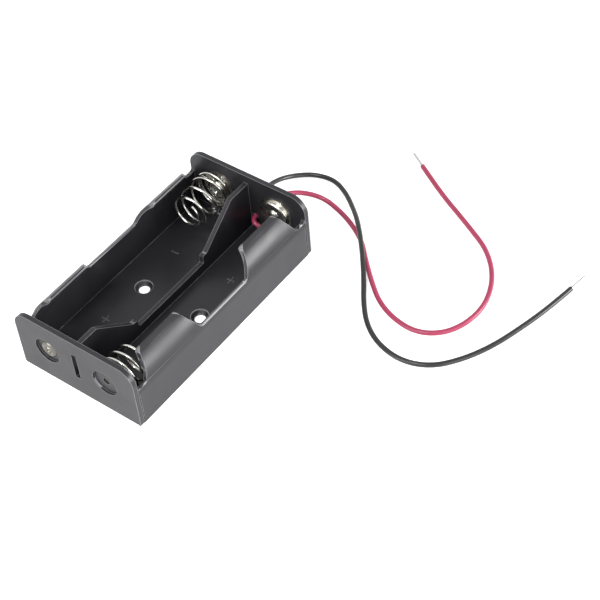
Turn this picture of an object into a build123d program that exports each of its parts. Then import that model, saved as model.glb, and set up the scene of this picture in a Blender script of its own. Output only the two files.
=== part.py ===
from build123d import *
from math import asin, cos, degrees, pi, radians, sin, sqrt, tan
import os

# A holder for two cylindrical cells that lie side by side and are wired in series.
# Millimetres. X runs across the holder, Y along the cells, Z up from the surface it
# stands on. The origin is under the middle of the tray. The leads leave the +Y end.

# Ends and sides, as signs along Y and X
FAR = 1
NEAR = -1
LEFT = -1
RIGHT = 1

# Tray
tray_length = 77.0
bay_width = 19.2
wall = 1.1
divider_thickness = 1.4
floor_thickness = 1.5
plate_thickness = 1.5
plate_height = 20.7
plate_corner = 5.0
cell_sink = 0.1
lip_angle = 60.0
lip_round = 0.4
corner_fillet = 0.5
base_round = 0.4

# Openings in the side walls
rail_height = 12.9
finger_length = 20.0
finger_length_top = 29.0
lip_foot_end = 33.0
lip_top_end = 27.8
lip_corner = 3.4
notch_round = 1.6

# Divider, seen from the side
divider_height = 17.9
divider_flat_end = 29.3
ramp_foot = 16.2
ramp_foot_height = 7.4
step_end = 14.4
ridge_height = 4.8
step_round = 0.6
ramp_round = 1.5

# Floor holes for countersunk screws
screw_hole_radius = 1.65
screw_head_radius = 2.75
screw_head_angle = 90.0

# End plates
recess_radius = 4.2
recess_depth = 0.7
rivet_hole_radius = 1.15
slot_width = 1.8
slot_height = 9.4
slot_depth = 2.9
edge_groove = 0.35
edge_groove_depth = 0.3
edge_groove_foot = 1.2
edge_groove_top = 11.8

# Contacts
strip = 0.3
tab_disc_radius = 5.6
tab_leg_width = 4.2
tab_leg_offset = 2.1
tab_foot_depth = 2.8
tab_foot_gap = 0.05
button_radius = 4.8
button_height = 1.1
button_sheet = 0.4
button_seat_radius = 3.0
button_round = 0.7
rivet_radius = 1.1
rivet_bore = 0.6
rivet_head_radius = 2.0
rivet_head_height = 1.3
rivet_head_edge = 0.4
rivet_head_crown = 0.3
rivet_head_slope = 0.4
rivet_head_flat = 0.8
tail_radius = 2.7
tail_height = 0.5
tail_mouth_radius = 1.89
eyelet_radius = 3.4
eyelet_neck_radius = 1.9
eyelet_neck_height = 0.95
eyelet_flange = 0.6
eyelet_bevel = 0.6
bridge_height = 8.0
bridge_overhang = 7.6
bridge_corner = 2.0
claw_width = 2.4
claw_grip = 0.9
claw_low = 2.05
claw_high = 2.45
claw_gap = 0.1
claw_bend = 0.05

# Coil springs
spring_radius = 6.8
spring_wire = 0.8
spring_seat_gap = 0.05
spring_leg_start = 2.4
spring_leg_bend = 1.5
spring_leg_angle = 145.8
closed_turns = 1.75
closed_pitch = 1.0
far_turns = 3
far_pitch = 4.3
near_turns = 2
near_pitch = 3.4
first_end_radius = 5.6
second_end_radius = 4.8
spring_points = 160
end_tail_angle = 54.0

# Leads
lead_radius = 0.75
core_radius = 0.45
lead_hole_radius = 1.0
lead_hole_x = 2.3
lead_hole_height = 6.0
tip_length = 6.2
joint_length = 3.4
joint_radius = 1.0
joint_taper = 8
joint_offset = 1.8
joint_rise = 1.05
black_joint_shift = -0.4
red_joint_shift = 0.3

# Sizes worked out from the ones above
tray_width = 2 * (wall + bay_width) + divider_thickness
bay_x = (divider_thickness + bay_width) / 2
bay_radius = bay_width / 2
axis_height = floor_thickness + bay_radius - cell_sink
inner_y = tray_length / 2 - plate_thickness
plate_skin = plate_thickness - recess_depth
lip_top = axis_height + (bay_radius + wall) * sin(radians(lip_angle))
foot_top = floor_thickness + tab_foot_gap + strip
button_seat = strip + button_sheet
head_top = button_seat + rivet_head_height


def from_far_plate(*points):
    """Points of a route whose y counts from the far plate's inner face."""
    return [(x, inner_y + y, z) for x, y, z in points]


# Each lead starts at its solder joint, leaves through its hole and lies on the surface
BLACK_ROUTE = from_far_plate(
    (-bay_x - black_joint_shift, -joint_offset, foot_top + joint_rise),
    (-6.0, -2.0, 3.2),
    (-lead_hole_x, -2.3, lead_hole_height),
    (-lead_hole_x, 5.6, lead_hole_height),
    (-2.8, 12.4, 5.4),
    (-2.9, 18.9, 3.2),
    (-0.9, 24.3, 1.3),
    (3.2, 27.9, 0.8),
    (9.9, 29.3, 0.8),
    (16.4, 27.1, 0.8),
    (22.1, 22.8, 1.7),
    (27.8, 17.1, 5.3),
    (35.2, 7.8, 5.3),
    (41.0, -0.5, 1.7),
    (45.6, -7.4, 0.8),
    (51.2, -13.8, 0.8),
    (58.2, -18.0, 0.8),
    (66.7, -19.4, 0.8),
    (74.4, -16.5, 0.8),
    (79.9, -9.9, 0.8),
    (84.2, -1.6, 0.8),
    (87.4, 8.9, 0.8),
    (89.9, 19.2, 0.8),
    (91.4, 28.6, 0.8),
)
RED_ROUTE = from_far_plate(
    (bay_x + red_joint_shift, -joint_offset, foot_top + joint_rise),
    (8.1, -1.85, 3.1),
    (5.7, -2.0, 4.6),
    (lead_hole_x, -2.3, lead_hole_height),
    (lead_hole_x, 5.0, lead_hole_height),
    (3.0, 11.3, 5.6),
    (6.0, 16.5, 4.2),
    (12.0, 19.8, 2.4),
    (18.7, 19.0, 0.9),
    (25.1, 16.3, 0.8),
    (31.5, 12.2, 0.8),
    (36.9, 6.4, 0.8),
    (42.8, 0.7, 0.8),
    (48.8, -4.5, 0.8),
    (55.7, -7.7, 0.8),
    (63.8, -8.7, 0.8),
    (70.4, -4.7, 0.8),
    (74.2, 2.4, 0.8),
    (75.0, 10.5, 0.8),
    (71.9, 18.8, 0.8),
    (66.6, 26.5, 0.8),
    (59.3, 33.4, 0.8),
    (51.1, 38.6, 0.8),
    (41.7, 41.7, 0.8),
    (34.9, 44.6, 0.8),
    (28.7, 48.4, 0.8),
)


def save(part, name):
    part.label = name
    export_step(part, f"parts/{name}.step")


def face_plane(side, end):
    """Plane on an end plate's inner face at a bay's middle: z points into the bay, y up."""
    origin = (side * bay_x, end * inner_y, axis_height)
    return Plane(origin=origin, x_dir=(end, 0, 0), z_dir=(0, -end, 0))


def section_plane(side, end):
    """Level plane through a bay's axis: x points outwards from it, y into the bay."""
    origin = (side * bay_x, end * inner_y, axis_height)
    return Plane(origin=origin, x_dir=(1, 0, 0), z_dir=(0, 0, -end))


def contact_axis(side, end):
    return Axis((side * bay_x, end * inner_y, axis_height), (0, -end, 0))


def wall_outline(side):
    """Section of one side wall with its inward lip and half of the floor."""
    outer = side * tray_width / 2
    inner = side * (tray_width / 2 - wall)
    centre = side * bay_x
    middle = radians(lip_angle / 2)
    tip = radians(lip_angle)

    def on_lip(radius, angle):
        return (centre + side * radius * cos(angle), axis_height + radius * sin(angle))

    outer_radius = bay_radius + wall
    with BuildLine() as line:
        Polyline((0, floor_thickness), (0, 0), (outer, 0), (outer, axis_height))
        ThreePointArc((outer, axis_height), on_lip(outer_radius, middle), on_lip(outer_radius, tip))
        Line(on_lip(outer_radius, tip), on_lip(bay_radius, tip))
        ThreePointArc(on_lip(bay_radius, tip), on_lip(bay_radius, middle), (inner, axis_height))
        Polyline((inner, axis_height), (inner, floor_thickness), (0, floor_thickness))
    return line.line


def cutter_at(side):
    """Side view of what is taken away above the rails, which leaves two lips standing."""
    head_room = plate_height + 1
    with BuildSketch(Plane.YZ.offset(side * bay_x)) as outline:
        with Locations((0, (rail_height + head_room) / 2)):
            Rectangle(2 * inner_y, head_room - rail_height)
        for end in (NEAR, FAR):
            with BuildSketch(mode=Mode.PRIVATE) as lip:
                with BuildLine():
                    Polyline(
                        (end * finger_length / 2, rail_height),
                        (end * finger_length_top / 2, lip_top),
                        (end * lip_top_end, lip_top),
                        (end * lip_foot_end, rail_height),
                        close=True,
                    )
                make_face()
                fillet(lip.vertices().group_by(Axis.Y)[-1], lip_corner)
            add(lip.sketch, mode=Mode.SUBTRACT)
        foot = outline.vertices().filter_by(lambda v: abs(v.Y - rail_height) < 0.01)
        fillet(foot, notch_round)
    return outline.sketch


os.makedirs("parts", exist_ok=True)

# Tray: moulded in one piece
with BuildPart() as tray:
    for side in (LEFT, RIGHT):
        with BuildSketch(Plane.XZ) as section:
            with BuildLine():
                add(wall_outline(side))
            make_face()
            corners = section.vertices()
            lip_tip = corners.sort_by(Axis.Y)[-2:]
            base_corner = corners.filter_by(lambda v: v.Y < 0.01 and abs(v.X) > bay_width)
            floor_corner = corners.filter_by(
                lambda v: abs(v.Y - floor_thickness) < 0.01 and abs(v.X) > bay_width)
            fillet(lip_tip, lip_round)
            fillet(base_corner, base_round)
            fillet(floor_corner, corner_fillet)
        extrude(amount=inner_y, both=True)
    # Finger cut-outs and end notches
    for side in (LEFT, RIGHT):
        extrude(cutter_at(side), amount=bay_width, dir=(side, 0, 0), mode=Mode.SUBTRACT)
    # Divider, high at both ends and a low ridge in the middle
    with BuildSketch(Plane.YZ) as divider:
        for end in (NEAR, FAR):
            with BuildLine():
                Polyline(
                    (0, 0),
                    (0, ridge_height),
                    (end * step_end, ridge_height),
                    (end * step_end, ramp_foot_height),
                    (end * ramp_foot, ramp_foot_height),
                    (end * divider_flat_end, divider_height),
                    (end * inner_y, divider_height),
                    (end * inner_y, 0),
                    close=True,
                )
            make_face()
        bends = divider.vertices().filter_by(
            lambda v: abs(abs(v.X) - divider_flat_end) < 0.01)
        fillet(bends, ramp_round)
        steps = divider.vertices().filter_by(
            lambda v: abs(abs(v.X) - step_end) < 0.01)
        fillet(steps, step_round)
    extrude(amount=divider_thickness / 2, both=True)
    # End plates
    for end in (NEAR, FAR):
        with BuildSketch(Plane.XZ.offset(-end * inner_y)) as plate:
            with Locations((0, plate_height / 2)):
                Rectangle(tray_width, plate_height)
            fillet(plate.vertices().group_by(Axis.Y)[-1], plate_corner)
            fillet(plate.vertices().group_by(Axis.Y)[0], base_round)
        extrude(amount=-end * plate_thickness)
    # Recesses and rivet holes in the end plates
    for end in (NEAR, FAR):
        for side in (LEFT, RIGHT):
            with BuildSketch(face_plane(side, end)):
                Circle(rivet_hole_radius)
            extrude(amount=-plate_thickness, mode=Mode.SUBTRACT)
            with BuildSketch(face_plane(side, end).offset(-plate_skin)):
                Circle(recess_radius)
            extrude(amount=-plate_thickness, mode=Mode.SUBTRACT)
    # Slot in the near plate, which also opens the divider for the bridge strip
    with BuildSketch(Plane.XZ.offset(tray_length / 2)):
        with Locations((0, axis_height)):
            Rectangle(slot_width, slot_height)
    extrude(amount=-slot_depth, mode=Mode.SUBTRACT)
    # Holes for the leads in the far plate
    with BuildSketch(Plane.XZ.offset(-inner_y)):
        with Locations((-lead_hole_x, lead_hole_height), (lead_hole_x, lead_hole_height)):
            Circle(lead_hole_radius)
    extrude(amount=-plate_thickness, mode=Mode.SUBTRACT)
    # Fine grooves where the side walls meet the end plates
    for end in (NEAR, FAR):
        for side in (LEFT, RIGHT):
            with BuildSketch(Plane.XY.offset(edge_groove_foot)):
                with Locations((side * tray_width / 2, end * (inner_y - edge_groove / 2))):
                    Rectangle(2 * edge_groove_depth, edge_groove)
            extrude(amount=edge_groove_top - edge_groove_foot, mode=Mode.SUBTRACT)
    # Countersunk screw holes in the floor
    with Locations(Plane.XY.offset(floor_thickness)):
        with Locations((-bay_x, 0), (bay_x, 0)):
            CounterSinkHole(screw_hole_radius, screw_head_radius, floor_thickness, screw_head_angle)
save(tray.part, "tray")


def around(radius, angle, height, centre=(0, 0)):
    """Point at an angle in degrees around a centre in a contact's own plane."""
    turn = radians(angle)
    return (centre[0] + radius * cos(turn), centre[1] + radius * sin(turn), height)


def coil_spring(side, end, active_turns, active_pitch):
    """Right-handed spring: leg to the middle, closed turns, open turns and a closed end."""
    plane = face_plane(side, end)
    seat = strip + spring_seat_gap + spring_wire / 2
    # The leg turns into the first coil through a bend that touches both
    inset = spring_radius - spring_leg_bend
    reach = sqrt(inset**2 - spring_leg_bend**2)
    swing = degrees(asin(spring_leg_bend / inset))
    start = spring_leg_angle + swing
    opened = start + 360 * closed_turns
    closing = opened + 360 * active_turns
    open_seat = seat + closed_turns * closed_pitch
    top = open_seat + active_turns * active_pitch
    bend_centre = around(inset, start, seat)[:2]
    bend_middle = spring_leg_angle - 90 + (90 + swing) / 2
    first, second = first_end_radius, second_end_radius
    first_centre = around(spring_radius - first, closing, top)[:2]
    second_centre = around(2 * first - spring_radius - second, closing + 180, top)[:2]
    with BuildLine() as path:
        leg_end = around(reach, spring_leg_angle, seat)
        Line(around(spring_leg_start, spring_leg_angle, seat), leg_end)
        ThreePointArc(
            leg_end,
            around(spring_leg_bend, bend_middle, seat, bend_centre),
            around(spring_radius, start, seat),
        )
        add(turns(start, closed_turns, closed_pitch, seat))
        add(turns(opened, active_turns, active_pitch, open_seat))
        ThreePointArc(
            around(spring_radius, closing, top),
            around(first, closing + 90, top, first_centre),
            around(first, closing + 180, top, first_centre),
        )
        ThreePointArc(
            around(first, closing + 180, top, first_centre),
            around(second, closing + 270, top, second_centre),
            around(second, closing + 360, top, second_centre),
        )
        ThreePointArc(
            around(second, closing + 360, top, second_centre),
            around(second, closing + 360 + end_tail_angle / 2, top, second_centre),
            around(second, closing + 360 + end_tail_angle, top, second_centre),
        )
    # One smooth curve through many points carries the round section along the whole wire
    wire = path.wire()
    points = [wire @ (step / spring_points) for step in range(spring_points + 1)]
    with BuildPart() as spring:
        with BuildLine():
            centre_line = Spline(*points)
        with BuildSketch(Plane(origin=centre_line @ 0, z_dir=centre_line % 0)):
            Circle(spring_wire / 2)
        sweep(path=centre_line)
    return spring.part.moved(plane.location)


def turns(angle, count, pitch, height):
    """Helix that begins at an angle and a height and climbs by a pitch for each turn."""
    helix = Helix(pitch, pitch * count, spring_radius, mode=Mode.PRIVATE)
    return helix.rotate(Axis.Z, angle).moved(Location((0, 0, height)))


def route_radii(route):
    """Bend radius at each corner, as large as its two runs allow."""
    points = [Vector(*point) for point in route]
    runs = [after - before for before, after in zip(points, points[1:])]
    radii = []
    for before, after in zip(runs, runs[1:]):
        half_turn = radians(before.get_angle(after)) / 2
        radii.append(0.45 * min(before.length, after.length) / tan(half_turn))
    return radii


def lead(route):
    radii = route_radii(route)
    with BuildLine() as path:
        FilletPolyline(*route, radius=radii)
    wire = path.wire()
    with BuildPart() as insulation:
        with BuildSketch(Plane(origin=wire @ 0, z_dir=wire % 0)):
            Circle(lead_radius)
        sweep(path=wire)
    section = pi * lead_radius**2
    print(
        f"lead length {wire.length:.1f}, smallest radius {min(radii):.2f},",
        f"volume over section times length {insulation.part.volume / section / wire.length:.4f}",
    )
    return insulation.part


def core_end(route):
    """Bare tinned strands beyond a lead's free end."""
    end = Vector(*route[-1])
    along = (end - Vector(*route[-2])).normalized()
    with BuildPart() as tip:
        with BuildSketch(Plane(origin=end, z_dir=along)):
            Circle(core_radius)
        extrude(amount=tip_length)
        fillet(tip.faces().sort_by(Axis(end, along))[-1].edges(), core_radius / 2)
    return tip.part


def solder_joint(route):
    """Bare strands of a lead's inner end, drowned in a mound of solder on the tab's foot."""
    start = Vector(*route[0])
    along = (start - Vector(*route[1])).normalized()
    with BuildPart() as joint:
        with BuildSketch(Plane(origin=start, z_dir=along)):
            Circle(core_radius)
        extrude(amount=joint_length)
        heart = start + along * (joint_length - joint_radius)
        with BuildSketch(Plane.XY.offset(foot_top)):
            with Locations((heart.X, heart.Y)):
                Circle(joint_radius)
        extrude(amount=start.Z + core_radius - foot_top, taper=joint_taper)
        fillet(joint.faces().sort_by(Axis.Z)[-1].edges(), core_radius / 3)
    return joint.part


def solder_tab(side):
    """Strip under a far contact with a leg down the plate and a foot on the floor."""
    with BuildPart() as tab:
        with BuildSketch(face_plane(side, FAR)) as face:
            Circle(tab_disc_radius)
            with Locations((side * tab_leg_offset, (foot_top - axis_height) / 2)):
                Rectangle(tab_leg_width, axis_height - foot_top)
            Circle(rivet_hole_radius, mode=Mode.SUBTRACT)
        extrude(amount=strip)
        with BuildSketch(Plane.XY.offset(foot_top - strip)):
            with Locations((side * (bay_x + tab_leg_offset), inner_y - tab_foot_depth / 2)):
                Rectangle(tab_leg_width, tab_foot_depth)
        extrude(amount=strip)
    return tab.part


def button(side, end):
    """Stamped button: rim, raised ring and a sunk seat for the rivet's head."""
    rim = strip + button_height
    with BuildPart() as contact:
        with BuildSketch(section_plane(side, end)) as section:
            with BuildLine():
                Polyline(
                    (rivet_hole_radius, strip),
                    (button_seat_radius, strip),
                    (button_seat_radius, rim - button_sheet),
                    (button_radius - button_sheet, rim - button_sheet),
                    (button_radius - button_sheet, strip),
                    (button_radius, strip),
                    (button_radius, rim),
                    (button_seat_radius - button_sheet, rim),
                    (button_seat_radius - button_sheet, strip + button_sheet),
                    (rivet_hole_radius, strip + button_sheet),
                    close=True,
                )
            make_face()
            brow = section.vertices().group_by(Axis.Y)[-1]
            fillet(brow.sort_by(Axis.X)[-1], button_round)
            fillet(brow.sort_by(Axis.X)[0], button_sheet / 2)
        revolve(axis=contact_axis(side, end))
    return contact.part


def rivet(side, end, head_outline):
    """Tubular rivet: head in the bay, hollow shank through the plate, flared tail outside."""
    tail_seat = -plate_skin
    tail_end = tail_seat - tail_height
    with BuildPart() as pin:
        with BuildSketch(section_plane(side, end)):
            with BuildLine():
                Polyline(
                    (0, tail_seat / 2),
                    (rivet_bore, tail_seat / 2),
                    (rivet_bore, tail_end + tail_height / 2),
                    (tail_mouth_radius, tail_end),
                    (tail_radius, tail_seat - tail_height / 3),
                    (tail_radius, tail_seat),
                    (rivet_radius, tail_seat),
                    *head_outline,
                )
                Line(head_outline[-1], (0, tail_seat / 2))
            make_face()
        revolve(axis=contact_axis(side, end))
    return pin.part


# Contacts of the far end: spring and eyelet on the left, button on the right
for side, lead_side in ((LEFT, "black"), (RIGHT, "red")):
    save(solder_tab(side), f"{lead_side}_solder_tab")
save(coil_spring(LEFT, FAR, far_turns, far_pitch), "far_spring")
save(rivet(LEFT, FAR, [
    (rivet_radius, strip),
    (eyelet_neck_radius, strip),
    (eyelet_neck_radius, strip + eyelet_neck_height),
    (eyelet_radius, strip + eyelet_neck_height),
    (eyelet_radius, strip + eyelet_neck_height + eyelet_flange / 2),
    (eyelet_radius - eyelet_bevel, strip + eyelet_neck_height + eyelet_flange),
    (rivet_radius, strip + eyelet_neck_height + eyelet_flange),
    (rivet_bore, strip + eyelet_neck_height + eyelet_flange / 2),
    (0, strip + eyelet_neck_height + eyelet_flange / 2),
]), "far_spring_rivet")
button_head = [
    (rivet_radius, button_seat),
    (rivet_head_radius, button_seat),
    (rivet_head_radius, button_seat + rivet_head_edge),
    (rivet_head_radius - rivet_head_slope, head_top - rivet_head_crown),
    (rivet_head_flat, head_top),
    (0, head_top),
]
save(button(RIGHT, FAR), "far_button")
save(rivet(RIGHT, FAR, button_head), "far_button_rivet")

# Contacts of the near end: button on the left, spring on the right, one bridge behind both
save(button(LEFT, NEAR), "near_button")
save(rivet(LEFT, NEAR, button_head), "near_button_rivet")
save(coil_spring(RIGHT, NEAR, near_turns, near_pitch), "near_spring")
with BuildPart() as near_bridge:
    with BuildSketch(Plane.XZ.offset(inner_y)):
        with Locations((0, axis_height)):
            RectangleRounded(2 * (bay_x + bridge_overhang), bridge_height, bridge_corner)
        with Locations((-bay_x, axis_height)):
            Circle(rivet_hole_radius, mode=Mode.SUBTRACT)
    extrude(amount=-strip)
    # Claws that grip the closed turns on both sides
    claw_reach = spring_radius + spring_wire / 2 + claw_gap
    for way, top in ((-1, claw_high), (1, claw_low)):
        with BuildSketch(Plane.XY.offset(axis_height - claw_width / 2)):
            with BuildLine():
                foot = bay_x + way * claw_reach
                inner = -inner_y + strip
                FilletPolyline(
                    (foot + way * strip, inner),
                    (foot + way * strip, inner + top + strip),
                    (foot - way * claw_grip, inner + top + strip),
                    (foot - way * claw_grip, inner + top),
                    (foot, inner + top),
                    (foot, inner),
                    radius=claw_bend,
                    close=True,
                )
            make_face()
        extrude(amount=claw_width)
save(near_bridge.part, "near_bridge")

# Leads with their tinned ends
for route, colour in ((BLACK_ROUTE, "black"), (RED_ROUTE, "red")):
    save(lead(route), f"{colour}_lead")
    save(core_end(route), f"{colour}_tip")
    save(solder_joint(route), f"{colour}_solder")
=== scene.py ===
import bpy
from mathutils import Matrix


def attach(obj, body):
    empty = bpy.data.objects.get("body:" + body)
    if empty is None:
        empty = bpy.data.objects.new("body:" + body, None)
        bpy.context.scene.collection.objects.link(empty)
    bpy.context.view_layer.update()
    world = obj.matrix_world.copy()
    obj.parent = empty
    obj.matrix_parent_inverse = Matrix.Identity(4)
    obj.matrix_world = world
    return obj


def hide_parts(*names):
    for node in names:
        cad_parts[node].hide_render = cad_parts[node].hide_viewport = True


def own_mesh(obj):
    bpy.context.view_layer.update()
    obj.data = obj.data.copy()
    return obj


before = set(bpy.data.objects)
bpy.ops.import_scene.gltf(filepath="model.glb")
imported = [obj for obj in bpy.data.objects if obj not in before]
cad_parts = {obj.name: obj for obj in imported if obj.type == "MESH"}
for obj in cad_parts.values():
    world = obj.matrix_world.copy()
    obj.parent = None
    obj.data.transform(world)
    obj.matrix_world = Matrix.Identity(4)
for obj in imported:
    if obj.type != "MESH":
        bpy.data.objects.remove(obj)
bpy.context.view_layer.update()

from math import cos, pi, radians, sin

import bpy
from mathutils import Matrix, Vector

MM = 0.001

# Corners are one within this many metres, and faces are one within this many degrees
JOIN_WITHIN = 0.002 * MM
FLAT_WITHIN = 0.2

# Places repeated from the tray, in millimetres
BAY_X = 10.3
INNER_Y = 37.0
AXIS_Z = 11.0
FLOOR_Z = 1.5
LEAD_HOLE_X = 2.3

# Lip ends, in millimetres: the box that holds one, and how far it is drawn out above each height
LIP_INNER_X = 4.0
LIP_END_Y = (24.0, 34.5)
LIP_TOP_Z = 20.5
NEAR_LIP_STEPS = ((13.2, 0.5), (15.5, 0.7), (17.8, 0.5))
FAR_LIP_STEPS = ((13.2, 0.2), (15.5, 0.4), (17.8, 0.2))

# Springs: degrees along the wire, each with a distance in millimetres. Reaches go from the turns' middle to the
# wire's, leans from the bay's middle to the turns', and heights from the end plate's inner face to the wire's.
WIRE_RADIUS = 0.4
LEG_ANGLE = 146
LEG_REACHES = (2.4, 3.2)
LEG_BEND = ((147.5, 3.4), (149.5, 4.3), (153.0, 5.0), (158.0, 5.45))
COIL_STEP = 15
COIL_REACHES = ((163, 5.7), (1180, 5.7), (1420, 5.3), (1560, 5.0), (1750, 4.6), (1900, 4.0))
COIL_LEANS = ((163, -1.1), (800, -1.2), (1900, -1.5))
FAR_HEIGHTS = ((163, 0.75), (600, 1.9), (840, 4.2), (1200, 8.9), (1540, 12.8), (1700, 13.4), (1865, 13.6))
NEAR_HEIGHTS = ((163, 0.75), (500, 1.6), (810, 2.9), (1170, 5.6), (1530, 9.1), (1700, 9.6), (1895, 9.8))

# Rolled rivet ends, in millimetres: distance from the rivet's middle, and rise from the base along it
TAIL_CUT_Y = 37.85
TAIL_BASE_Y = 37.8
TAIL_OUTLINE = ((0.7, -0.4), (0.8, 0.0), (1.1, 0.32), (1.6, 0.5), (2.1, 0.42), (2.5, 0.2), (2.65, 0.0))
CROWN_OUTLINE = (
    (0.5, -1.5), (0.7, -1.75), (1.1, -2.05), (1.7, -2.25), (2.4, -2.2), (3.0, -1.95), (3.35, -1.6),
)
SPIN_STEPS = 40

# Solder that has run over the tabs' feet, in millimetres: name, middle and size
TINNINGS = (
    ("black_tab_tinning", (-9.8, 35.1, 2.1), (4.2, 2.0, 1.2)),
    ("red_tab_tinning", (10.6, 35.1, 2.1), (3.8, 2.0, 1.0)),
)

# Raised bars on the bays' floors, in millimetres
BAR_THICKNESS = 0.2
BAR_BEVEL = 0.06
MARK_LONG = 2.6
MARK_WIDE = 0.5
MARK_RISE = 0.14
MARK_Y = 15.5
LEFT_MARK_X = -11.4
RIGHT_MARK_X = 9.2
WITNESS_X = 19.8
WITNESS_LONG = 73.6
WITNESS_WIDE = 0.2
WITNESS_RISE = 0.07

# Leads: lengths in metres, and centre lines in millimetres from the solder joint to the end of the insulation
BLACK_LENGTH = 0.183
RED_LENGTH = 0.182
LEAD_RADIUS = 0.75
BLACK_ROUTE = [
    (-9.9, 35.2, 2.9),
    (-6.0, 35.0, 3.2),
    (-2.3, 34.7, 6.0),
    (-2.3, 42.6, 6.0),
    (-2.8, 49.4, 5.4),
    (-2.9, 55.9, 3.2),
    (-0.9, 61.3, 1.3),
    (3.2, 64.9, 0.8),
    (9.5, 66.1, 0.8),
    (15.5, 63.5, 0.8),
    (21.1, 59.2, 1.2),
    (27.1, 53.6, 2.9),
    (34.9, 44.6, 2.9),
    (41.0, 36.5, 1.2),
    (45.6, 29.6, 0.8),
    (51.2, 23.2, 0.8),
    (58.2, 19.0, 0.8),
    (66.7, 17.6, 0.8),
    (74.4, 20.5, 0.8),
    (79.9, 27.1, 0.8),
    (84.2, 35.4, 0.8),
    (87.4, 45.9, 0.8),
    (89.9, 56.2, 0.8),
    (91.4, 65.6, 0.8),
]
RED_ROUTE = [
    (10.6, 35.2, 2.9),
    (8.1, 35.15, 3.1),
    (5.7, 35.0, 4.6),
    (2.3, 34.7, 6.0),
    (2.3, 42.0, 6.0),
    (3.0, 48.3, 5.6),
    (6.0, 53.5, 4.2),
    (12.0, 56.8, 2.4),
    (18.7, 56.0, 0.9),
    (25.1, 53.3, 0.8),
    (31.5, 49.2, 0.8),
    (36.9, 43.4, 0.8),
    (42.8, 37.7, 0.8),
    (48.8, 32.5, 0.8),
    (55.7, 29.3, 0.8),
    (63.8, 28.3, 0.8),
    (70.2, 31.8, 0.8),
    (73.7, 38.0, 0.8),
    (74.7, 45.9, 0.8),
    (72.7, 53.7, 0.8),
    (68.7, 60.5, 0.8),
    (63.0, 66.1, 0.8),
    (56.1, 70.0, 0.8),
    (49.1, 73.7, 0.8),
    (42.1, 77.3, 0.8),
    (35.3, 81.3, 0.8),
    (28.7, 85.4, 0.8),
]

# Surroundings: strength of the light from near the horizon and from overhead, the heights of its direction between
# which the one turns into the other, the floor's width in metres, and its glow where it is seen
HORIZON_STRENGTH = 0.66
OVERHEAD_STRENGTH = 0.42
TURNING_HEIGHTS = (0.1, 0.6)
FLOOR_WIDTH = 3
FLOOR_GLOW = 0.62

# Lamps: name, place and width in metres, and power in watts. All face the same point of the holder.
LAMPS = (
    ("front_light", (-0.25, -0.85, 0.35), 0.5, 4.2),
    ("side_light", (0.85, -0.25, 0.3), 0.5, 3.0),
    ("crest_light", (0.7, 0.43, 0.17), 0.36, 6.5),
    ("overhead_light", (0.08, -0.42, 0.72), 0.15, 3.0),
)
LAMPS_FACE = Vector((0.02, 0.02, 0))

# The photograph's camera: focal length for a sensor 36 mm wide, place in metres, and the ways its axes point
FOCAL_LENGTH = 95.87
SENSOR_WIDTH = 36
CAMERA_PLACE = (0.22804, -0.21184, 0.33251)
CAMERA_RIGHT = (0.80393, 0.59109, -0.06555)
CAMERA_UP = (-0.40102, 0.62019, 0.67420)
CAMERA_BACK = (0.43917, -0.51573, 0.73563)


def linear(value):
    """Linear colour of an sRGB hex value."""
    channels = [int(value[at:at + 2], 16) / 255 for at in (1, 3, 5)]
    return tuple(c / 12.92 if c <= 0.04045 else ((c + 0.055) / 1.055) ** 2.4 for c in channels) + (1.0,)


def add(tree, kind, inputs=None, **settings):
    """Add a node with its settings, and fill its inputs with values or with other nodes' outputs."""
    made = tree.nodes.new(kind)
    for name, value in settings.items():
        setattr(made, name, value)
    for socket, value in (inputs or {}).items():
        if isinstance(value, bpy.types.NodeSocket):
            tree.links.new(value, made.inputs[socket])
        else:
            made.inputs[socket].default_value = value
    return made


def noise(tree, place, scale, detail, **more):
    """Noise with features about 1 / scale millimetres wide."""
    values = {"Vector": place, "Scale": scale, "Detail": detail, **more}
    return add(tree, "ShaderNodeTexNoise", values).outputs["Fac"]


def stretch(tree, value, source, target=(0.0, 1.0), **settings):
    """Value moved from one range to another, and held within it."""
    values = {"Value": value, "From Min": source[0], "From Max": source[1],
              "To Min": target[0], "To Max": target[1]}
    return add(tree, "ShaderNodeMapRange", values, **settings).outputs["Result"]


def blend(tree, factor, none, full):
    """Colour between two colours."""
    values = {"Factor": factor, "A": none, "B": full}
    return add(tree, "ShaderNodeMix", values, data_type="RGBA").outputs["Result"]


def relief(tree, shader, height, strength, depth):
    """Fine relief, with its depth in millimetres."""
    values = {"Height": height, "Strength": strength, "Distance": depth * MM}
    tree.links.new(add(tree, "ShaderNodeBump", values).outputs["Normal"], shader.inputs["Normal"])


def start_material(name, **shader_values):
    """New material with one Principled shader, and the object's own coordinates in millimetres."""
    material = bpy.data.materials.new(name)
    material.use_nodes = True
    tree = material.node_tree
    shader = tree.nodes["Principled BSDF"]
    for socket, value in shader_values.items():
        shader.inputs[socket.replace("_", " ")].default_value = value
    metres = add(tree, "ShaderNodeTexCoord").outputs["Object"]
    place = add(tree, "ShaderNodeMapping", {"Vector": metres, "Scale": (1000, 1000, 1000)}).outputs["Vector"]
    return material, tree, shader, place


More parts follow.
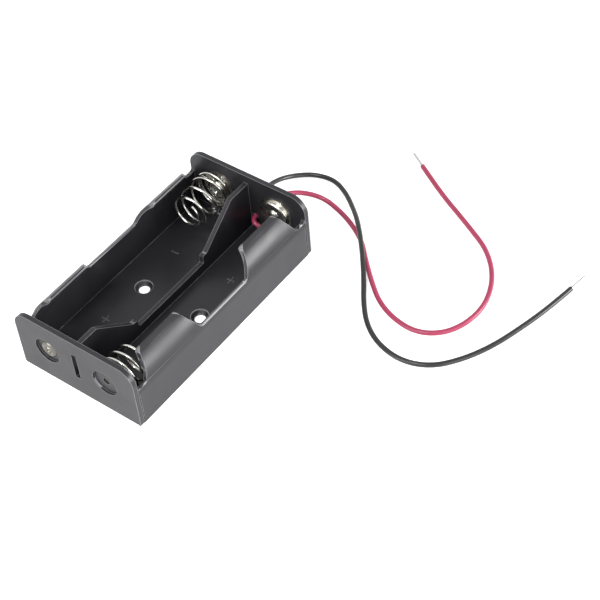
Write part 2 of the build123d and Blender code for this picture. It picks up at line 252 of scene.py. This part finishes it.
def moulded_abs():
    """ABS, moulded against a fine spark-eroded tool: satin black with some dust, and a painted highlight that
    lightens its edges.
    """
    material, tree, shader, place = start_material("black_moulded_abs", IOR=1.52, Specular_IOR_Level=0.36)
    flow = noise(tree, place, 0.07, 3, Distortion=1.2)
    specks = stretch(tree, noise(tree, place, 1.6, 4, Roughness=0.7), (0.66, 0.8))
    tone = blend(tree, flow, linear("#222225"), linear("#2b2b2f"))
    dusty = blend(tree, specks, tone, linear("#454548"))
    # Painted highlight: edges are lightened towards pale grey within a quarter of a millimetre, where the surface
    # turns by more than 15 degrees
    rounded = add(tree, "ShaderNodeBevel", {"Radius": 0.26 * MM}, samples=8).outputs["Normal"]
    facing = add(tree, "ShaderNodeNewGeometry").outputs["True Normal"]
    alike = add(tree, "ShaderNodeVectorMath", {0: rounded, 1: facing}, operation="DOT_PRODUCT").outputs["Value"]
    painted_edge_highlight = stretch(tree, alike, (0.991, 0.86), (0.0, 0.5))
    tree.links.new(blend(tree, painted_edge_highlight, dusty, linear("#bcbcc0")), shader.inputs["Base Color"])
    tree.links.new(stretch(tree, flow, (0.3, 0.7), (0.32, 0.42)), shader.inputs["Roughness"])
    relief(tree, shader, noise(tree, place, 4.0, 2), 0.12, 0.03)
    return material


def nickel_plate(name, light, dark, roughness):
    """Nickel plating on stamped or drawn steel: warm bright grey, with rolling lines and slight tarnish."""
    material, tree, shader, place = start_material(name, Metallic=1.0, Roughness=roughness)
    tarnish = noise(tree, place, 0.5, 4)
    tree.links.new(blend(tree, tarnish, linear(dark), linear(light)), shader.inputs["Base Color"])
    lines = add(tree, "ShaderNodeMapping", {"Vector": place, "Scale": (0.6, 6.0, 6.0)}).outputs["Vector"]
    rolled = noise(tree, lines, 1.2, 3)
    gloss = stretch(tree, rolled, (0.3, 0.7), (roughness - 0.06, roughness + 0.1))
    tree.links.new(gloss, shader.inputs["Roughness"])
    relief(tree, shader, rolled, 0.1, 0.02)
    return material


def soft_insulation(name, pale, deep, roughness):
    """Soft extruded PVC or silicone: even colour, a soft sheen and slight waviness along the lead."""
    material, tree, shader, place = start_material(name, Roughness=roughness, IOR=1.5)
    wave = noise(tree, place, 0.25, 2)
    tree.links.new(blend(tree, wave, linear(deep), linear(pale)), shader.inputs["Base Color"])
    relief(tree, shader, wave, 0.2, 0.05)
    return material


def soft_solder():
    """Tin solder that has set: bright, with a slightly frosty, rippled skin."""
    material, tree, shader, place = start_material("set_solder", Metallic=1.0, Roughness=0.28)
    ripple = noise(tree, place, 2.2, 3)
    tree.links.new(blend(tree, ripple, linear("#b4b5b8"), linear("#dcdde0")), shader.inputs["Base Color"])
    relief(tree, shader, ripple, 0.3, 0.08)
    return material


BLACK_ABS = moulded_abs()
CONTACT_NICKEL = nickel_plate("nickel_plated_contact", "#e0ded6", "#c0bdb2", 0.24)
SPRING_NICKEL = nickel_plate("nickel_plated_spring_wire", "#e8e7e3", "#cfcdc7", 0.18)
# Painted shade: the rolled rivet end's plating gets much darker greys than the other nickel, so it renders dark
SHADED_RIVET_NICKEL = nickel_plate("nickel_rivet_end_painted_shade", "#86847d", "#504e47", 0.24)
BLACK_INSULATION = soft_insulation("black_soft_insulation", "#232324", "#191919", 0.3)
RED_INSULATION = soft_insulation("red_soft_insulation", "#ad3a5c", "#97304e", 0.34)
SOLDER = soft_solder()


def select_only(piece):
    """Leave this piece selected and active, and nothing else."""
    bpy.ops.object.select_all(action="DESELECT")
    piece.select_set(True)
    bpy.context.view_layer.objects.active = piece


def edit_all(piece):
    """Open a piece in edit mode with the whole mesh selected."""
    select_only(piece)
    bpy.ops.object.mode_set(mode="EDIT")
    bpy.ops.mesh.select_all(action="SELECT")


def finish_edit(smooth_angle):
    """Leave edit mode, and shade the active piece smooth except at edges sharper than an angle."""
    bpy.ops.object.mode_set(mode="OBJECT")
    bpy.ops.object.shade_smooth_by_angle(angle=radians(smooth_angle))


def dress(piece, material):
    """Give a piece its finish, and let it ride on the holder."""
    piece.data.materials.clear()
    piece.data.materials.append(material)
    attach(piece, "holder")


def smooth_copy(name, material):
    """Copy of a CAD node with its triangles joined and its round faces shaded smooth, in the node's place."""
    piece = bpy.data.objects.new(name + "_surface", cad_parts[name].data.copy())
    bpy.context.collection.objects.link(piece)
    edit_all(piece)
    bpy.ops.mesh.remove_doubles(threshold=JOIN_WITHIN)
    bpy.ops.mesh.dissolve_limited(angle_limit=radians(FLAT_WITHIN))
    finish_edit(smooth_angle=32)
    even = piece.modifiers.new("even_shading", "WEIGHTED_NORMAL")
    even.mode = "FACE_AREA_WITH_ANGLE"
    even.weight = 100
    even.keep_sharp = True
    bpy.ops.object.modifier_apply(modifier=even.name)
    dress(piece, material)
    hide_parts(name)
    return piece


def round_strand(name, points, radius, order, section, steps):
    """Round wire or lead on its own smooth line, with the points as control points in millimetres."""
    curve = bpy.data.curves.new(name, "CURVE")
    curve.dimensions = "3D"
    curve.bevel_depth = radius * MM
    curve.bevel_resolution = section
    curve.resolution_u = steps
    curve.use_fill_caps = True
    spline = curve.splines.new("NURBS")
    spline.points.add(len(points) - 1)
    for point, (x, y, z) in zip(spline.points, points):
        point.co = (x * MM, y * MM, z * MM, 1)
    spline.order_u = order
    spline.use_endpoint_u = True
    piece = bpy.data.objects.new(name, curve)
    bpy.context.collection.objects.link(piece)
    return piece


def lay_lead(name, route, material):
    """A lead's insulation from its joint through its hole in the far plate to its tinned end."""
    piece = round_strand(name + "_insulation", route, LEAD_RADIUS, order=3, section=5, steps=12)
    dress(piece, material)
    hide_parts(name)


def at_angle(table, angle):
    """Value between the rows of a table of angles and values."""
    for (low, first), (high, last) in zip(table, table[1:]):
        if angle <= high:
            return first + (last - first) * (angle - low) / (high - low)
    return table[-1][1]


def coil(name, side, end, heights):
    """Coil spring of one round wire, a little off the bay's middle: leg, closed and open turns, closed end."""
    first, seat = heights[0]
    turns = [(angle, reach, COIL_LEANS[0][1], seat) for angle, reach in LEG_BEND]
    angle = first
    while angle < heights[-1][0]:
        reach, lean = at_angle(COIL_REACHES, angle), at_angle(COIL_LEANS, angle)
        turns.append((angle, reach, lean, at_angle(heights, angle)))
        angle += COIL_STEP
    points = []
    for angle, reach, lean, height in [(LEG_ANGLE, reach, 0.0, seat) for reach in LEG_REACHES] + turns:
        across, upward = lean + reach * cos(radians(angle)), reach * sin(radians(angle))
        points.append((side * BAY_X + end * across, end * (INNER_Y - height), AXIS_Z + upward))
    piece = round_strand(name + "_wire", points, WIRE_RADIUS, order=4, section=4, steps=3)
    select_only(piece)
    bpy.ops.object.convert(target="MESH")
    bpy.ops.object.shade_smooth_by_angle(angle=radians(50))
    dress(piece, SPRING_NICKEL)
    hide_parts(name)
    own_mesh(piece)


def add_block(centre, size):
    """Block with its place and size, in millimetres, moved into its mesh."""
    bpy.ops.mesh.primitive_cube_add(size=1, location=[v * MM for v in centre], scale=[v * MM for v in size])
    block = bpy.context.active_object
    select_only(block)
    bpy.ops.object.transform_apply(location=True, rotation=True, scale=True)
    return block


def tinning(name, centre, size):
    """Flat pillow of solder that has run over a tab's foot."""
    piece = add_block(centre, size)
    piece.name = name
    edit_all(piece)
    bpy.ops.mesh.bevel(offset=0.25 * size[2] * MM, segments=2, affect="EDGES")
    bpy.ops.mesh.subdivide(number_cuts=1)
    bpy.ops.object.mode_set(mode="OBJECT")
    rounded = piece.modifiers.new("pillow", "SUBSURF")
    rounded.levels = rounded.render_levels = 2
    bpy.ops.object.modifier_apply(modifier=rounded.name)
    bpy.ops.object.shade_smooth()
    dress(piece, SOLDER)


def rolled_end(name, side, end, base, outline, material):
    """Rolled end of a tubular rivet, spun round a contact's middle: a ring round a bore."""
    shape = bpy.data.meshes.new(name)
    places = [((side * BAY_X + reach) * MM, end * (base + rise) * MM, AXIS_Z * MM) for reach, rise in outline]
    shape.from_pydata(places, [(at, at + 1) for at in range(len(places) - 1)], [])
    piece = bpy.data.objects.new(name, shape)
    bpy.context.collection.objects.link(piece)
    edit_all(piece)
    middle = (side * BAY_X * MM, 0, AXIS_Z * MM)
    bpy.ops.mesh.spin(steps=SPIN_STEPS, angle=2 * pi, center=middle, axis=(0, 1, 0))
    bpy.ops.mesh.select_all(action="SELECT")
    bpy.ops.mesh.remove_doubles(threshold=JOIN_WITHIN)
    bpy.ops.mesh.select_all(action="DESELECT")
    bpy.ops.mesh.select_non_manifold()
    bpy.ops.mesh.fill_holes(sides=0)
    bpy.ops.mesh.select_all(action="SELECT")
    bpy.ops.mesh.normals_make_consistent(inside=False)
    finish_edit(smooth_angle=60)
    dress(piece, material)


def lengthen_lip(piece, side, end, steps):
    """Draw a lip's end nearer to its end plate, more so towards the tip: steps of height and distance."""
    select_only(piece)
    for height, distance in steps:
        bpy.ops.object.mode_set(mode="EDIT")
        bpy.ops.mesh.select_mode(type="VERT")
        bpy.ops.mesh.select_all(action="DESELECT")
        bpy.ops.object.mode_set(mode="OBJECT")
        for corner in piece.data.vertices:
            x, y, z = corner.co / MM
            in_lip_end = side * x > LIP_INNER_X and LIP_END_Y[0] < end * y < LIP_END_Y[1]
            corner.select = in_lip_end and height < z < LIP_TOP_Z
        bpy.ops.object.mode_set(mode="EDIT")
        bpy.ops.transform.translate(value=(0, end * distance * MM, 0))
        bpy.ops.object.mode_set(mode="OBJECT")


def cut_away(piece, y, outward):
    """Cut off what a piece has beyond an upright plane across the cells, and close the cut."""
    edit_all(piece)
    bpy.ops.mesh.bisect(plane_co=(0, y * MM, 0), plane_no=(0, outward, 0), clear_outer=True, use_fill=True)
    bpy.ops.object.mode_set(mode="OBJECT")


def raised_bars(name, bars, rise):
    """Raised mark or line of one or two bars, each with its middle and its widths, on the floor of a bay."""
    middle = FLOOR_Z + rise - BAR_THICKNESS / 2
    made = [add_block((x, y, middle), (across, along, BAR_THICKNESS)) for x, y, across, along in bars]
    for bar in made:
        bar.select_set(True)
    bpy.context.view_layer.objects.active = made[0]
    if len(made) > 1:
        bpy.ops.object.join()
    piece = bpy.context.active_object
    piece.name = name
    edit_all(piece)
    bpy.ops.mesh.bevel(offset=BAR_BEVEL * MM, segments=2, affect="EDGES")
    finish_edit(smooth_angle=40)
    dress(piece, BLACK_ABS)


def sees_background(tree):
    """1 for rays that show the background: the camera's own, and those that metal or glass sends on."""
    path = add(tree, "ShaderNodeLightPath").outputs
    sent_on = add(tree, "ShaderNodeMath", {0: path["Is Glossy Ray"], 1: path["Is Transmission Ray"]},
                  operation="MAXIMUM").outputs[0]
    return add(tree, "ShaderNodeMath", {0: path["Is Camera Ray"], 1: sent_on}, operation="MAXIMUM").outputs[0]


def surroundings():
    """Light from all sides, stronger near the horizon than overhead, and white where it is seen."""
    world = bpy.data.worlds.new("studio")
    bpy.context.scene.world = world
    world.use_nodes = True
    tree = world.node_tree
    tree.nodes.clear()
    way = add(tree, "ShaderNodeTexCoord").outputs["Generated"]
    height = add(tree, "ShaderNodeSeparateXYZ", {"Vector": way}).outputs["Z"]
    above = stretch(tree, height, TURNING_HEIGHTS, (HORIZON_STRENGTH, OVERHEAD_STRENGTH),
                    interpolation_type="SMOOTHSTEP")
    strength = add(tree, "ShaderNodeMix", {"Factor": sees_background(tree), "A": above, "B": 1.0})
    light = add(tree, "ShaderNodeBackground", {"Color": (1, 1, 1, 1), "Strength": strength.outputs["Result"]})
    add(tree, "ShaderNodeOutputWorld", {"Surface": light.outputs["Background"]})


def white_floor():
    """Floor that is white where it is seen, and keeps the object's shadow."""
    bpy.ops.mesh.primitive_plane_add(size=FLOOR_WIDTH, location=(0, 0, -0.02 * MM))
    floor = bpy.context.active_object
    floor.name = "studio_floor"
    white = bpy.data.materials.new("studio_white")
    white.use_nodes = True
    tree = white.node_tree
    tree.nodes.clear()
    matte = add(tree, "ShaderNodeBsdfDiffuse", {"Color": (0.9, 0.9, 0.9, 1)})
    lift = add(tree, "ShaderNodeMath", {0: sees_background(tree), 1: FLOOR_GLOW}, operation="MULTIPLY")
    glow = add(tree, "ShaderNodeEmission", {"Color": (1, 1, 1, 1), "Strength": lift.outputs[0]})
    both = add(tree, "ShaderNodeAddShader", {0: matte.outputs[0], 1: glow.outputs[0]})
    add(tree, "ShaderNodeOutputMaterial", {"Surface": both.outputs[0]})
    floor.data.materials.append(white)


def lamps():
    """Soft lamps low in front, at the side and behind the right lips, and a small one overhead."""
    for name, place, width, power in LAMPS:
        lamp = bpy.data.lights.new(name, "AREA")
        lamp.size = width
        lamp.energy = power
        stand = bpy.data.objects.new(name, lamp)
        bpy.context.collection.objects.link(stand)
        stand.location = place
        stand.rotation_euler = (LAMPS_FACE - Vector(place)).to_track_quat("-Z", "Y").to_euler()


def photograph_camera():
    """Camera that sees the object as the photograph does."""
    view = bpy.data.cameras.new("studio_camera")
    view.lens = FOCAL_LENGTH
    view.sensor_width = SENSOR_WIDTH
    view.clip_start = 10 * MM
    camera = bpy.data.objects.new("studio_camera", view)
    bpy.context.collection.objects.link(camera)
    turned = Matrix((CAMERA_RIGHT, CAMERA_UP, CAMERA_BACK)).transposed().to_4x4()
    camera.matrix_world = Matrix.Translation(CAMERA_PLACE) @ turned
    bpy.context.scene.camera = camera
    bpy.context.scene.view_settings.view_transform = "Standard"


surroundings()
white_floor()
lamps()
photograph_camera()

tray = smooth_copy("tray", BLACK_ABS)
for side in (-1, 1):
    lengthen_lip(tray, side, -1, NEAR_LIP_STEPS)
    lengthen_lip(tray, side, 1, FAR_LIP_STEPS)
for name in ("black_solder_tab", "red_solder_tab", "far_spring_rivet", "far_button", "far_button_rivet",
             "near_button", "near_button_rivet", "near_bridge"):
    plated = smooth_copy(name, CONTACT_NICKEL)
    if name == "near_button_rivet":
        cut_away(plated, -TAIL_CUT_Y, -1)
rolled_end("near_button_rivet_tail", -1, -1, TAIL_BASE_Y, TAIL_OUTLINE, SHADED_RIVET_NICKEL)
rolled_end("far_eyelet_crown", -1, 1, INNER_Y, CROWN_OUTLINE, SPRING_NICKEL)
coil("far_spring", -1, 1, FAR_HEIGHTS)
coil("near_spring", 1, -1, NEAR_HEIGHTS)
for name, centre, size in TINNINGS:
    tinning(name, centre, size)
for name, x, y, crossed in (
    ("left_minus_mark", LEFT_MARK_X, MARK_Y, False),
    ("left_plus_mark", LEFT_MARK_X, -MARK_Y, True),
    ("right_plus_mark", RIGHT_MARK_X, MARK_Y, True),
    ("right_minus_mark", RIGHT_MARK_X, -MARK_Y, False),
):
    level, upright = (x, y, MARK_LONG, MARK_WIDE), (x, y, MARK_WIDE, MARK_LONG)
    raised_bars(name, [level, upright] if crossed else [level], MARK_RISE)
for name, side in (("left_witness_line", -1), ("right_witness_line", 1)):
    raised_bars(name, [(side * WITNESS_X, 0.0, WITNESS_WIDE, WITNESS_LONG)], WITNESS_RISE)
for colour, route, insulation, hole_x, length in (
    ("black", BLACK_ROUTE, BLACK_INSULATION, -LEAD_HOLE_X, BLACK_LENGTH),
    ("red", RED_ROUTE, RED_INSULATION, LEAD_HOLE_X, RED_LENGTH),
):
    tip = smooth_copy(colour + "_tip", SOLDER)
    smooth_copy(colour + "_solder", SOLDER)
    lay_lead(colour + "_lead", route, insulation)
